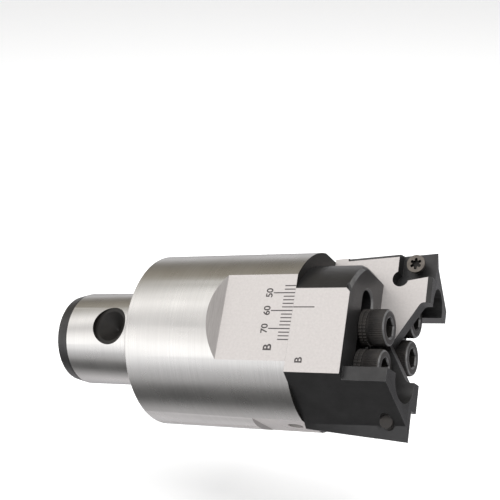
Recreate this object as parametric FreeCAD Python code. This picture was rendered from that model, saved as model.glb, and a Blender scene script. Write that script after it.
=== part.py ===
import FreeCAD, Part
import math
import os

# Twin-cutter rough boring head, in millimetres.
# +Z is the tool axis towards the cut. The flange face of the spigot connection is at z = 0.
# +X is the outward normal of the scale flat that belongs to cartridge B.
# Cartridge B covers x > 0 and cuts towards +Y. Cartridge A is the same piece turned half a turn about Z.

# Body
BODY_DIAMETER = 50.0
BODY_LENGTH = 50.5
BODY_EDGE_CHAMFER = 0.4
SCALE_FLAT_DEPTH = 3.1
SCALE_FLAT_LENGTH = 21.1
SCREW_FLAT_DEPTH = 0.95
SCREW_FLAT_LENGTH = 15.2

# Spigot and its root relief
SPIGOT_DIAMETER = 28.0
SPIGOT_LENGTH = 33.0
SPIGOT_LEAD_LENGTH = 4.0
SPIGOT_LEAD_DEPTH = 0.9
ROOT_RELIEF_WIDTH = 1.0
ROOT_RELIEF_DEPTH = 0.6
SEAM_TURN = 52.0
SPIGOT_BAND = 8.0

# Floating drive pin
DRIVE_PIN_DIAMETER = 11.4
DRIVE_END_SINK = 0.1
DRIVE_PIN_HEIGHT = -13.8
DRIVE_CONE_DIAMETER = 9.2
DRIVE_CONE_ANGLE = 90.0
DRIVE_NOSE_DIAMETER = 5.0
DRIVE_FLOAT = 0.5
DRIVE_SLOT_DEPTH = 1.6

# Retaining screw of the drive pin
RETAINER_DIAMETER = 5.0
RETAINER_LENGTH = 8.0
RETAINER_POINT_DIAMETER = 3.0
RETAINER_POINT_REACH = 0.4
RETAINER_HEX = 2.5
RETAINER_HEX_DEPTH = 3.0
SPIGOT_RECESS_DIAMETER = 9.0

# Cartridges
CARTRIDGE_BASE = 15.6
CENTRE_GAP = 0.05
OUTER_CORNER_Y = 14.9
HEEL_SLOPE = 0.566
HEEL_X_LOW = 5.3
HEEL_X_HIGH = 6.2
END_INNER_Y_LOW = 24.85
END_INNER_Y_HIGH = 26.9
END_OUTER_Y_LOW = 25.45
END_OUTER_Y_HIGH = 27.6
FLARE_X = 8.0
END_ARC_RADIUS = 25.0
END_ARC_CENTRE_Y = 4.0
END_TOP_Y = -16.9
OUTER_EDGE_CHAMFER = 1.2
RIM_CHAMFER = 0.8

# Post, web and chip gash of a cartridge
POST_HEIGHT = 29.4
FRONT_RELIEF_ANGLE = 5.5
POST_INNER_Y = 12.4
POST_SETBACK = 1.9
WEB_THICKNESS = 4.0
WEB_CROSSING_LIFT = 19.9
WEB_SLOPE = 0.6
WEB_BLOCK_Y = 11.8
WEB_BLOCK_RADIUS = 1.6
GASH_RADIUS = 5.5
GASH_END_Y = 13.2
FACE_EDGE_CHAMFER = 1.2
END_EDGE_CHAMFER = 0.9
END_EDGE_START = 4.0

# Insert pocket for an 80 degree rhombic insert
INSERT_CIRCLE = 9.525
INSERT_THICKNESS = 3.97
INSERT_ANGLE = 80.0
POCKET_WALL_LIFT = 19.3
POCKET_CORNER_Y = 17.6
POCKET_RELIEF_RADIUS = 2.3
POCKET_RELIEF_SHIFT = 1.5

# Insert screw
INSERT_SCREW_DIAMETER = 3.5
INSERT_SCREW_HEAD_DIAMETER = 5.2
INSERT_SCREW_HEAD_HEIGHT = 2.2
INSERT_SCREW_HEAD_STANDOFF = 1.4
INSERT_SCREW_TAIL = 0.9
STAR_RADIUS = 1.25
STAR_LOBE_RADIUS = 0.42
STAR_DEPTH = 1.3

# Clamp screws, their washers and the slot they pass through
CLAMP_X = 9.5
CLAMP_INNER_Y = -1.25
CLAMP_PITCH = 11.0
CLAMP_DIAMETER = 6.0
CLAMP_HEAD_DIAMETER = 10.0
CLAMP_HEAD_HEIGHT = 5.0
CLAMP_HEAD_CHAMFER = 0.5
CLAMP_HEX = 5.0
CLAMP_HEX_DEPTH = 3.2
CLAMP_LENGTH = 30.0
CLAMP_HOLE_CLEARANCE = 0.05
WASHER_THICKNESS = 2.2
WASHER_DIAMETER = 10.0
WASHER_HOLE_DIAMETER = 6.4
SLOT_CLEARANCE = 0.5
SLOT_EDGE_CHAMFER = 0.5
SLOT_END_MARGIN = 0.9

# Travel of a cartridge from the setting it is shown at
TRAVEL_IN = 2.5
TRAVEL_OUT = 6.0

# Guideway and adjusting mechanism
GUIDE_WIDTH = 9.0
GUIDE_CLEARANCE = 0.05
TONGUE_HEIGHT = 1.6
TONGUE_FRONT_Y = 12.5
NUT_LENGTH = 7.0
NUT_WALL = 1.0
TENON_LENGTH = 4.0
TENON_HEIGHT = 4.5
SCREW_AXIS_DEPTH = 5.1
LEAD_DIAMETER = 5.0
LEAD_CLEARANCE = 0.05
LEAD_TIP_Y = 3.6
COLLAR_DIAMETER = 7.6
COLLAR_THICKNESS = 1.3
COLLAR_CLEARANCE = 0.05
SHOULDER_THICKNESS = 1.4
LEAD_HEX = 2.5
LEAD_HEX_DEPTH = 2.4
RING_DIAMETER = 9.0
RING_THICKNESS = 1.9
RING_HOLE_DIAMETER = 4.4
RING_SINK = 0.02
GUIDE_END_CLEARANCE = 0.4

# Values worked out from the ones above
BODY_RADIUS = BODY_DIAMETER / 2
SPIGOT_RADIUS = SPIGOT_DIAMETER / 2
SCALE_FLAT_OFFSET = BODY_RADIUS - SCALE_FLAT_DEPTH
SCALE_FLAT_START = BODY_LENGTH - SCALE_FLAT_LENGTH
SCREW_FLAT_OFFSET = BODY_RADIUS - SCREW_FLAT_DEPTH
SCREW_FLAT_START = BODY_LENGTH - SCREW_FLAT_LENGTH
OUTER_FACE_OFFSET = SCALE_FLAT_OFFSET
FRONT_HEIGHT = BODY_LENGTH + POST_HEIGHT
WEB_CROSSING_HEIGHT = BODY_LENGTH + WEB_CROSSING_LIFT
POCKET_WALL_Z = BODY_LENGTH + POCKET_WALL_LIFT
SCREW_AXIS_HEIGHT = BODY_LENGTH - SCREW_AXIS_DEPTH
BASE_TOP = BODY_LENGTH + CARTRIDGE_BASE
HEAD_SEAT = BASE_TOP + WASHER_THICKNESS
SLOT_RADIUS = CLAMP_DIAMETER / 2 + SLOT_CLEARANCE
CLAMP_OUTER_Y = CLAMP_INNER_Y + CLAMP_PITCH
GUIDE_HALF = GUIDE_WIDTH / 2
NUT_TOP = BODY_LENGTH - TONGUE_HEIGHT - GUIDE_CLEARANCE
NUT_BOTTOM = SCREW_AXIS_HEIGHT - LEAD_DIAMETER / 2 - LEAD_CLEARANCE - NUT_WALL
NUT_POCKET_FLOOR = NUT_BOTTOM - GUIDE_CLEARANCE
RING_SEAT_Y = SCREW_FLAT_OFFSET - RING_SINK - RING_THICKNESS
COLLAR_SEAT_Y = RING_SEAT_Y - COLLAR_THICKNESS - COLLAR_CLEARANCE
GUIDE_END_Y = COLLAR_SEAT_Y - SHOULDER_THICKNESS
NUT_BACK_Y = GUIDE_END_Y - TRAVEL_IN - GUIDE_END_CLEARANCE
SLOT_FIRST_Y = CLAMP_INNER_Y - TRAVEL_OUT - SLOT_END_MARGIN
SLOT_LAST_Y = CLAMP_OUTER_Y + TRAVEL_IN
FRONT_SLOPE = math.tan(math.radians(FRONT_RELIEF_ANGLE))
DRIVE_PIN_LENGTH = 2 * (math.sqrt(SPIGOT_RADIUS ** 2 - (DRIVE_PIN_DIAMETER / 2) ** 2) - DRIVE_END_SINK)
RETAINER_BASE = DRIVE_PIN_HEIGHT - DRIVE_PIN_DIAMETER / 2
BIG = 4 * BODY_DIAMETER

X_AXIS = FreeCAD.Vector(1, 0, 0)
Y_AXIS = FreeCAD.Vector(0, 1, 0)
Z_AXIS = FreeCAD.Vector(0, 0, 1)
ORIGIN = FreeCAD.Vector(0, 0, 0)


def box(x0, x1, y0, y1, z0, z1):
    """Block between three pairs of planes."""
    return Part.makeBox(x1 - x0, y1 - y0, z1 - z0, FreeCAD.Vector(x0, y0, z0))


def rod(radius, length, base, direction=Z_AXIS):
    """Cylinder that starts at base and runs along direction."""
    return Part.makeCylinder(radius, length, FreeCAD.Vector(*base), direction)


def cone(radius_1, radius_2, length, base, direction=Z_AXIS):
    """Cone frustum that starts at base and runs along direction."""
    return Part.makeCone(radius_1, radius_2, length, FreeCAD.Vector(*base), direction)


def revolve(profile):
    """Solid turned about Z from (radius, z) points."""
    points = [FreeCAD.Vector(r, 0, z) for r, z in profile]
    face = Part.Face(Part.makePolygon(points + points[:1]))
    return face.revolve(ORIGIN, Z_AXIS, 360)


def prism(edges, vector):
    """Solid made by sweeping a closed outline of edges along a vector."""
    return Part.Face(Part.Wire(edges)).extrude(vector)


def polygon_prism(points, vector):
    """Solid made by sweeping a closed polygon along a vector."""
    return Part.Face(Part.makePolygon(points + points[:1])).extrude(vector)


def hexagon(across_flats, depth, base, direction=Z_AXIS):
    """Hexagonal bar that starts at base and runs along direction."""
    radius = across_flats / math.sqrt(3)
    corners = [math.radians(60 * k) for k in range(6)]
    points = [FreeCAD.Vector(radius * math.cos(t), radius * math.sin(t), 0) for t in corners]
    bar = polygon_prism(points, Z_AXIS * depth)
    bar.Placement = FreeCAD.Placement(FreeCAD.Vector(*base), FreeCAD.Rotation(Z_AXIS, direction))
    return bar


def half_turn(shape):
    """Copy of a shape turned half a turn about the tool axis."""
    copy = shape.copy()
    copy.rotate(ORIGIN, Z_AXIS, 180)
    return copy


def both_sides(shape):
    """Shape and its half-turn copy."""
    return [shape, half_turn(shape)]


# ---------------------------------------------------------------- body

def flat_cut(offset, start):
    """Milled flat on the +X side with a 45 degree wall at its rear, open at the front face."""
    depth = BODY_RADIUS - offset + 1
    profile = [
        FreeCAD.Vector(offset, -BODY_RADIUS, start),
        FreeCAD.Vector(offset + depth, -BODY_RADIUS, start - depth),
        FreeCAD.Vector(offset + depth, -BODY_RADIUS, BODY_LENGTH + 1),
        FreeCAD.Vector(offset, -BODY_RADIUS, BODY_LENGTH + 1),
    ]
    return polygon_prism(profile, Y_AXIS * BODY_DIAMETER)


def scale_flat_cut():
    """Flat that carries the scale of cartridge B."""
    return flat_cut(SCALE_FLAT_OFFSET, SCALE_FLAT_START)


def screw_flat_cut():
    """Shallower flat round the bore of cartridge B's adjusting screw, on the -Y side."""
    cut = flat_cut(SCREW_FLAT_OFFSET, SCREW_FLAT_START)
    cut.rotate(ORIGIN, Z_AXIS, -90)
    return cut


def clamp_hole(y):
    """Tapped hole of one clamp screw."""
    depth = CLAMP_LENGTH - CARTRIDGE_BASE - WASHER_THICKNESS + CLAMP_DIAMETER / 2
    radius = CLAMP_DIAMETER / 2 + CLAMP_HOLE_CLEARANCE
    hole = rod(radius, depth, (CLAMP_X, y, BODY_LENGTH - depth))
    drill_point = cone(0, radius, radius / 2, (CLAMP_X, y, BODY_LENGTH - depth - radius / 2))
    return hole.fuse(drill_point)


def guide_pocket():
    """Central guideway: a shallow slot for the tongues over a deep one for the adjusting nuts."""
    upper = box(-GUIDE_HALF, GUIDE_HALF, -GUIDE_END_Y, GUIDE_END_Y,
                BODY_LENGTH - TONGUE_HEIGHT - GUIDE_CLEARANCE, BODY_LENGTH + 1)
    lower = box(-GUIDE_HALF, GUIDE_HALF, -GUIDE_END_Y, GUIDE_END_Y, NUT_POCKET_FLOOR, BODY_LENGTH)
    return upper.fuse(lower)


def adjusting_bore():
    """Stepped bore of the adjusting screw on the -Y side: ring and collar seat, then shank."""
    seat = rod(RING_DIAMETER / 2, BODY_RADIUS, (0, -BODY_RADIUS - COLLAR_SEAT_Y, SCREW_AXIS_HEIGHT), Y_AXIS)
    shank = rod(LEAD_DIAMETER / 2 + LEAD_CLEARANCE, BODY_RADIUS, (0, -BODY_RADIUS, SCREW_AXIS_HEIGHT), Y_AXIS)
    return seat.fuse(shank)


def drive_bore():
    """Cross bore of the floating drive pin, right through the spigot."""
    radius = DRIVE_PIN_DIAMETER / 2 + 0.05
    return rod(radius, BODY_DIAMETER, (-BODY_RADIUS, 0, DRIVE_PIN_HEIGHT), X_AXIS)


def retainer_bore():
    """Tapped bore on the spigot axis, from a recess in the end face to the drive pin."""
    hole = rod(RETAINER_DIAMETER / 2, SPIGOT_LENGTH, (0, 0, -SPIGOT_LENGTH + DRIVE_PIN_HEIGHT))
    recess_depth = SPIGOT_LENGTH + RETAINER_BASE - RETAINER_LENGTH - 2
    recess = rod(SPIGOT_RECESS_DIAMETER / 2, recess_depth, (0, 0, -SPIGOT_LENGTH))
    bevel = cone(SPIGOT_RECESS_DIAMETER / 2 + 0.8, SPIGOT_RECESS_DIAMETER / 2, 0.8, (0, 0, -SPIGOT_LENGTH))
    return hole.fuse([recess, bevel])


def head_body():
    """Ground body with its spigot, flats, guideway, tapped holes and cross bore."""
    relief_outer = SPIGOT_RADIUS + ROOT_RELIEF_WIDTH
    turned = revolve([
        (0, -SPIGOT_LENGTH),
        (SPIGOT_RADIUS - SPIGOT_LEAD_DEPTH, -SPIGOT_LENGTH),
        (SPIGOT_RADIUS, -SPIGOT_LENGTH + SPIGOT_LEAD_LENGTH),
        (SPIGOT_RADIUS, -SPIGOT_BAND),
        (SPIGOT_RADIUS, ROOT_RELIEF_DEPTH),
        (relief_outer, ROOT_RELIEF_DEPTH),
        (relief_outer, 0),
        (BODY_RADIUS - BODY_EDGE_CHAMFER, 0),
        (BODY_RADIUS, BODY_EDGE_CHAMFER),
        (BODY_RADIUS, BODY_LENGTH),
        (0, BODY_LENGTH),
    ])
    turned.rotate(ORIGIN, Z_AXIS, SEAM_TURN)
    one_side = [scale_flat_cut(), screw_flat_cut(), clamp_hole(CLAMP_INNER_Y), clamp_hole(CLAMP_OUTER_Y),
                adjusting_bore()]
    tools = [guide_pocket(), drive_bore(), retainer_bore()]
    for tool in one_side:
        tools += both_sides(tool)
    return turned.cut(tools)


# ---------------------------------------------------------------- drive pin

def drive_pin():
    """Floating pin with a conical recess at the +X end and a blunt cone at the other."""
    radius = DRIVE_PIN_DIAMETER / 2
    half_angle = math.radians(DRIVE_CONE_ANGLE / 2)
    half_length = DRIVE_PIN_LENGTH / 2
    nose_length = (radius - DRIVE_NOSE_DIAMETER / 2) / math.tan(half_angle)
    shank = rod(radius, DRIVE_PIN_LENGTH - nose_length, (-half_length + nose_length, 0, 0), X_AXIS)
    nose = cone(DRIVE_NOSE_DIAMETER / 2, radius, nose_length, (-half_length, 0, 0), X_AXIS)
    recess_depth = DRIVE_CONE_DIAMETER / 2 / math.tan(half_angle)
    recess = cone(0, DRIVE_CONE_DIAMETER / 2, recess_depth, (half_length - recess_depth, 0, 0), X_AXIS)
    slot_half = RETAINER_POINT_DIAMETER / 2 + DRIVE_FLOAT
    slot = box(-slot_half, slot_half, -radius, radius, -radius, -radius + DRIVE_SLOT_DEPTH)
    pin = shank.fuse(nose).removeSplitter().cut([recess, slot])
    pin.translate(FreeCAD.Vector(0, 0, DRIVE_PIN_HEIGHT))
    return pin


def pin_retainer():
    """Set screw with a dog point that keeps the drive pin in the spigot."""
    top = RETAINER_BASE + RETAINER_POINT_REACH
    shoulder = top - RETAINER_POINT_REACH - 0.6
    thread = rod(RETAINER_DIAMETER / 2, RETAINER_LENGTH, (0, 0, shoulder - RETAINER_LENGTH))
    point = rod(RETAINER_POINT_DIAMETER / 2, top - shoulder, (0, 0, shoulder))
    socket = hexagon(RETAINER_HEX, RETAINER_HEX_DEPTH, (0, 0, shoulder - RETAINER_LENGTH))
    return thread.fuse(point).cut(socket)


# ---------------------------------------------------------------- cartridges

def wall_vector(angle_from_y):
    """Unit vector in the YZ plane, turned from +Y towards +Z."""
    turn = math.radians(angle_from_y)
    return FreeCAD.Vector(0, math.cos(turn), math.sin(turn))


def insert_centre():
    """Centre of the insert: half its long diagonal from the pocket corner."""
    side = INSERT_CIRCLE / math.sin(math.radians(INSERT_ANGLE))
    corner = FreeCAD.Vector(0, POCKET_CORNER_Y, POCKET_WALL_Z)
    return corner + (wall_vector(0) + wall_vector(INSERT_ANGLE)) * (side / 2)


def inclined_face_y(x):
    """Where the sloping outer face of a cartridge lies at a given x."""
    return OUTER_CORNER_Y + HEEL_SLOPE * (OUTER_FACE_OFFSET - x)


def cartridge_blank():
    """Full-height block with the outline of a cartridge, its turned end at -Y."""
    corner_y = END_ARC_CENTRE_Y - math.sqrt(END_ARC_RADIUS ** 2 - OUTER_FACE_OFFSET ** 2)
    end_y = END_ARC_CENTRE_Y - math.sqrt(END_ARC_RADIUS ** 2 - CENTRE_GAP ** 2)
    turn = math.radians(-60)
    arc_middle = FreeCAD.Vector(END_ARC_RADIUS * math.cos(turn),
                                END_ARC_CENTRE_Y + END_ARC_RADIUS * math.sin(turn), BODY_LENGTH)
    points = [FreeCAD.Vector(x, y, BODY_LENGTH) for x, y in (
        (CENTRE_GAP, end_y),
        (CENTRE_GAP, OUTER_CORNER_Y),
        (FLARE_X, OUTER_CORNER_Y),
        (FLARE_X, inclined_face_y(FLARE_X)),
        (OUTER_FACE_OFFSET, OUTER_CORNER_Y),
        (OUTER_FACE_OFFSET, corner_y),
    )]
    edges = [Part.LineSegment(a, b).toShape() for a, b in zip(points, points[1:])]
    edges.append(Part.Arc(points[-1], arc_middle, points[0]).toShape())
    return prism(edges, Z_AXIS * (FRONT_HEIGHT - BODY_LENGTH))


def cutting_end():
    """Cutting end of a cartridge, which leans outwards towards the cutting edge."""
    wires = []
    for z, inner_y, outer_y, heel_x in (
        (BODY_LENGTH, END_INNER_Y_LOW, END_OUTER_Y_LOW, HEEL_X_LOW),
        (FRONT_HEIGHT, END_INNER_Y_HIGH, END_OUTER_Y_HIGH, HEEL_X_HIGH),
    ):
        points = [FreeCAD.Vector(x, y, z) for x, y in (
            (CENTRE_GAP, OUTER_CORNER_Y),
            (CENTRE_GAP, inner_y),
            (INSERT_THICKNESS, outer_y),
            (heel_x, inclined_face_y(heel_x)),
            (FLARE_X, inclined_face_y(FLARE_X)),
            (FLARE_X, OUTER_CORNER_Y),
        )]
        wires.append(Part.makePolygon(points + points[:1]))
    return Part.makeLoft(wires, True, True)


def above_the_web():
    """Space over the sloped edge of the web, up to its block at the cutting end."""
    foot_y = (BASE_TOP - WEB_CROSSING_HEIGHT) / WEB_SLOPE
    head_z = WEB_CROSSING_HEIGHT + WEB_SLOPE * WEB_BLOCK_Y
    points = [FreeCAD.Vector(-1, y, z) for y, z in (
        (-BODY_DIAMETER, BASE_TOP),
        (foot_y, BASE_TOP),
        (WEB_BLOCK_Y, head_z),
        (WEB_BLOCK_Y, FRONT_HEIGHT + 1),
        (-BODY_DIAMETER, FRONT_HEIGHT + 1),
    )]
    space = polygon_prism(points, X_AXIS * (WEB_THICKNESS + 2))
    slope_edges = [e for e in space.Edges if is_block_corner(e, head_z)]
    return space.makeFillet(WEB_BLOCK_RADIUS, slope_edges)


def is_block_corner(edge, head_z):
    """Whether an edge is the one along X where the web's slope meets its block."""
    bounds = edge.BoundBox
    along_x = bounds.XLength > WEB_THICKNESS
    return along_x and abs(bounds.YMin - WEB_BLOCK_Y) < 0.01 and abs(bounds.ZMin - head_z) < 0.01


def chip_gash():
    """Round-ended slot that clears the clamp screws' heads and leaves the web standing."""
    slot = box(WEB_THICKNESS, WEB_THICKNESS + 2 * GASH_RADIUS, -BODY_DIAMETER, GASH_END_Y,
               BASE_TOP, FRONT_HEIGHT + 1)
    end = rod(GASH_RADIUS, FRONT_HEIGHT + 1 - BASE_TOP, (WEB_THICKNESS + GASH_RADIUS, GASH_END_Y, BASE_TOP))
    return slot.fuse(end)


def platform_space():
    """Space over the base beside the gash, behind the post."""
    return box(WEB_THICKNESS, BODY_RADIUS, -BODY_DIAMETER, POST_INNER_Y, BASE_TOP, FRONT_HEIGHT + 1)


def front_space():
    """Space ahead of the front face, which falls away from the cutting edge."""
    points = [FreeCAD.Vector(x, -BODY_DIAMETER, FRONT_HEIGHT + z) for x, z in (
        (0, 0),
        (BODY_RADIUS, -BODY_RADIUS * FRONT_SLOPE),
        (BODY_RADIUS, BODY_RADIUS),
        (-1, BODY_RADIUS),
        (-1, 0),
    )]
    return polygon_prism(points, Y_AXIS * BIG)


def end_bevel():
    """Half-right bevel on the top of the turned end."""
    reach = BODY_RADIUS
    points = [FreeCAD.Vector(-1, END_TOP_Y + y, BASE_TOP + z) for y, z in ((1, 1), (-reach, -reach), (-reach, 1))]
    return polygon_prism(points, X_AXIS * BODY_DIAMETER)


def outer_edge_bevel():
    """Chamfer of the ground outer face along the front of the base, on the turned side."""
    c = OUTER_EDGE_CHAMFER
    points = [FreeCAD.Vector(OUTER_FACE_OFFSET + 1, y, z) for y, z in (
        (END_ARC_CENTRE_Y - END_ARC_RADIUS, BASE_TOP - c),
        (-8.2, BASE_TOP - c),
        (-8.2 + c, BASE_TOP),
        (-8.2 + c, BASE_TOP + 1),
        (END_ARC_CENTRE_Y - END_ARC_RADIUS, BASE_TOP + 1),
    )]
    return polygon_prism(points, X_AXIS * -2)


def end_edge_chamfer():
    """Chamfer between the inner face and the leaning cutting end, under the insert pocket."""
    c = END_EDGE_CHAMFER
    start = FreeCAD.Vector(0, END_INNER_Y_LOW, BODY_LENGTH)
    lean = FreeCAD.Vector(0, END_INNER_Y_HIGH - END_INNER_Y_LOW, POST_HEIGHT)
    start += lean * (END_EDGE_START / POST_HEIGHT)
    points = [start + FreeCAD.Vector(CENTRE_GAP + x, y, 0) for x, y in ((-1, -c - 1), (c + 1, 1), (-1, 1))]
    return polygon_prism(points, lean)


def front_edge_chamfer():
    """Chamfer between the inner face and the front of the web's block."""
    c = FACE_EDGE_CHAMFER
    points = [FreeCAD.Vector(CENTRE_GAP + x, 0, FRONT_HEIGHT + z) for x, z in ((-1, -c - 1), (c + 1, 1), (-1, 1))]
    return polygon_prism(points, Y_AXIS * BODY_DIAMETER)


def insert_pocket():
    """Pocket for the insert: floor, two walls at the insert's angle and a corner relief."""
    corner = FreeCAD.Vector(0, POCKET_CORNER_Y, POCKET_WALL_Z)
    reach = 2.5 * INSERT_CIRCLE
    points = [corner, corner + wall_vector(0) * reach,
              corner + (wall_vector(0) + wall_vector(INSERT_ANGLE)) * reach,
              corner + wall_vector(INSERT_ANGLE) * reach]
    space = polygon_prism([p - X_AXIS for p in points], X_AXIS * (1 + INSERT_THICKNESS))
    inward = wall_vector(INSERT_ANGLE / 2)
    centre = corner + inward * POCKET_RELIEF_SHIFT
    relief = rod(POCKET_RELIEF_RADIUS, 1.15 + INSERT_THICKNESS, (-1, centre.y, centre.z), X_AXIS)
    return space.fuse(relief)


def clamp_slot():
    """Slot for the shanks of the two clamp screws, as long as the cartridge's travel, with a broken rim."""
    c = SLOT_EDGE_CHAMFER
    bottom = BODY_LENGTH - 1
    height = BASE_TOP + 1 - bottom
    parts = [box(CLAMP_X - SLOT_RADIUS, CLAMP_X + SLOT_RADIUS, SLOT_FIRST_Y, SLOT_LAST_Y, bottom, bottom + height)]
    rim = [FreeCAD.Vector(CLAMP_X + x, SLOT_FIRST_Y, BASE_TOP + z) for x, z in (
        (-SLOT_RADIUS, -c), (SLOT_RADIUS, -c), (SLOT_RADIUS + c, 0), (-SLOT_RADIUS - c, 0))]
    parts.append(polygon_prism(rim, Y_AXIS * (SLOT_LAST_Y - SLOT_FIRST_Y)))
    for y in (SLOT_FIRST_Y, SLOT_LAST_Y):
        parts.append(rod(SLOT_RADIUS, height, (CLAMP_X, y, bottom)))
        parts.append(cone(SLOT_RADIUS, SLOT_RADIUS + c, c, (CLAMP_X, y, BASE_TOP - c)))
    return parts[0].fuse(parts[1:])


def rim_edges(solid):
    """Edges where the turned end meets its bevel and the base's top."""
    found = []
    for edge in solid.Edges:
        bounds = edge.BoundBox
        ends = [v.Point for v in edge.Vertexes]
        on_arc = [abs(math.hypot(p.x, p.y - END_ARC_CENTRE_Y) - END_ARC_RADIUS) < 0.01 for p in ends]
        if all(on_arc) and bounds.ZMin > BODY_LENGTH + 1 and bounds.YMax < 0 and bounds.XLength > 1:
            found.append(edge)
    return found


def tongue():
    """Guide tongue under the base, half as wide as the guideway."""
    return box(CENTRE_GAP, GUIDE_HALF - GUIDE_CLEARANCE, -NUT_BACK_Y, TONGUE_FRONT_Y,
               BODY_LENGTH - TONGUE_HEIGHT, BODY_LENGTH)


def tenon_box(grow=0.0):
    """Tenon of the adjusting nut, or its pocket in the cartridge."""
    middle = -NUT_BACK_Y + NUT_LENGTH / 2
    return box(0.6, GUIDE_HALF - 0.6, middle - TENON_LENGTH / 2, middle + TENON_LENGTH / 2,
               NUT_TOP, BODY_LENGTH + TENON_HEIGHT + grow)


def insert_screw_bore():
    """Tapped hole of the insert screw, right through the post."""
    centre = insert_centre()
    return rod(INSERT_SCREW_DIAMETER / 2, BODY_DIAMETER, (-1, centre.y, centre.z), X_AXIS)


def cartridge():
    """Cartridge B in its place: base, turned end, web, post, pocket, slot and tongue."""
    solid = cartridge_blank().fuse(cutting_end()).removeSplitter()
    setback = box(OUTER_FACE_OFFSET - POST_SETBACK, BODY_DIAMETER, -BODY_DIAMETER, BODY_DIAMETER,
                  BASE_TOP, FRONT_HEIGHT + 1)
    solid = solid.cut([above_the_web(), chip_gash(), platform_space(), setback, front_space(), end_bevel(),
                       outer_edge_bevel()])
    solid = solid.makeChamfer(RIM_CHAMFER, rim_edges(solid))
    solid = solid.cut([insert_pocket(), end_edge_chamfer(), front_edge_chamfer()])
    solid = solid.fuse(tongue()).removeSplitter()
    return solid.cut([clamp_slot(), tenon_box(0.1), insert_screw_bore()])


def adjusting_nut():
    """Nut of cartridge B: it runs in the deep slot and its tenon is pressed into the cartridge."""
    block = box(-GUIDE_HALF + GUIDE_CLEARANCE, GUIDE_HALF - GUIDE_CLEARANCE, -NUT_BACK_Y, -NUT_BACK_Y + NUT_LENGTH,
                NUT_BOTTOM, NUT_TOP)
    bore = rod(LEAD_DIAMETER / 2 + LEAD_CLEARANCE, 2 * NUT_LENGTH, (0, -NUT_BACK_Y - 1, SCREW_AXIS_HEIGHT), Y_AXIS)
    return block.fuse(tenon_box()).removeSplitter().cut(bore)


def adjusting_screw():
    """Lead screw of cartridge B, with a collar and a hexagon socket at its outer end."""
    outer_y = -COLLAR_SEAT_Y - COLLAR_THICKNESS
    stem = rod(LEAD_DIAMETER / 2, -LEAD_TIP_Y - outer_y, (0, outer_y, SCREW_AXIS_HEIGHT), Y_AXIS)
    collar = rod(COLLAR_DIAMETER / 2, COLLAR_THICKNESS, (0, outer_y, SCREW_AXIS_HEIGHT), Y_AXIS)
    socket = hexagon(LEAD_HEX, LEAD_HEX_DEPTH, (0, outer_y, SCREW_AXIS_HEIGHT), Y_AXIS)
    return stem.fuse(collar).removeSplitter().cut(socket)


def retaining_ring():
    """Threaded ring that holds the collar of cartridge B's adjusting screw."""
    base = (0, -RING_SEAT_Y - RING_THICKNESS, SCREW_AXIS_HEIGHT)
    ring = rod(RING_DIAMETER / 2, RING_THICKNESS, base, Y_AXIS)
    hole = rod(RING_HOLE_DIAMETER / 2, RING_THICKNESS, base, Y_AXIS)
    return ring.cut(hole)


# ---------------------------------------------------------------- fasteners

def clamp_screw(y):
    """Socket head cap screw that clamps cartridge B to the body."""
    radius = CLAMP_HEAD_DIAMETER / 2
    head_top = HEAD_SEAT + CLAMP_HEAD_HEIGHT
    shank_end = HEAD_SEAT - CLAMP_LENGTH
    profile = [
        (0, shank_end),
        (CLAMP_DIAMETER / 2 - 0.6, shank_end),
        (CLAMP_DIAMETER / 2, shank_end + 0.6),
        (CLAMP_DIAMETER / 2, HEAD_SEAT),
        (radius, HEAD_SEAT),
        (radius, head_top - CLAMP_HEAD_CHAMFER),
        (radius - CLAMP_HEAD_CHAMFER, head_top),
        (0, head_top),
    ]
    socket = hexagon(CLAMP_HEX, CLAMP_HEX_DEPTH + 1, (0, 0, head_top - CLAMP_HEX_DEPTH))
    screw = revolve(profile).cut(socket)
    screw.translate(FreeCAD.Vector(CLAMP_X, y, 0))
    return screw


def lock_washer(y):
    """Safety washer under the head of a clamp screw."""
    ring = rod(WASHER_DIAMETER / 2, WASHER_THICKNESS, (CLAMP_X, y, BASE_TOP))
    return ring.cut(rod(WASHER_HOLE_DIAMETER / 2, WASHER_THICKNESS, (CLAMP_X, y, BASE_TOP)))


def insert_screw():
    """Star-recess insert screw, driven home in the empty seat of cartridge B."""
    centre = insert_centre()
    seat_x = INSERT_THICKNESS
    head_top = seat_x - INSERT_SCREW_HEAD_STANDOFF - INSERT_SCREW_HEAD_HEIGHT
    tail_x = OUTER_FACE_OFFSET - (centre.y - OUTER_CORNER_Y) / HEEL_SLOPE + INSERT_SCREW_TAIL
    shank = rod(INSERT_SCREW_DIAMETER / 2, tail_x - head_top, (head_top, 0, 0), X_AXIS)
    head_radius = INSERT_SCREW_HEAD_DIAMETER / 2
    rim = 0.8
    head = rod(head_radius, rim, (head_top, 0, 0), X_AXIS)
    taper = cone(head_radius, INSERT_SCREW_DIAMETER / 2, INSERT_SCREW_HEAD_HEIGHT - rim, (head_top + rim, 0, 0), X_AXIS)
    lobes = [rod(STAR_LOBE_RADIUS, STAR_DEPTH, star_lobe(k, head_top), X_AXIS) for k in range(6)]
    star = rod(STAR_RADIUS - STAR_LOBE_RADIUS / 2, STAR_DEPTH, (head_top, 0, 0), X_AXIS).fuse(lobes)
    screw = shank.fuse([head, taper]).removeSplitter().cut(star)
    screw.translate(FreeCAD.Vector(0, centre.y, centre.z))
    return screw


def star_lobe(index, x):
    """Base point of one lobe of the star recess."""
    turn = math.radians(60 * index)
    return (x, STAR_RADIUS * math.cos(turn), STAR_RADIUS * math.sin(turn))


# ---------------------------------------------------------------- nodes

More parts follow.
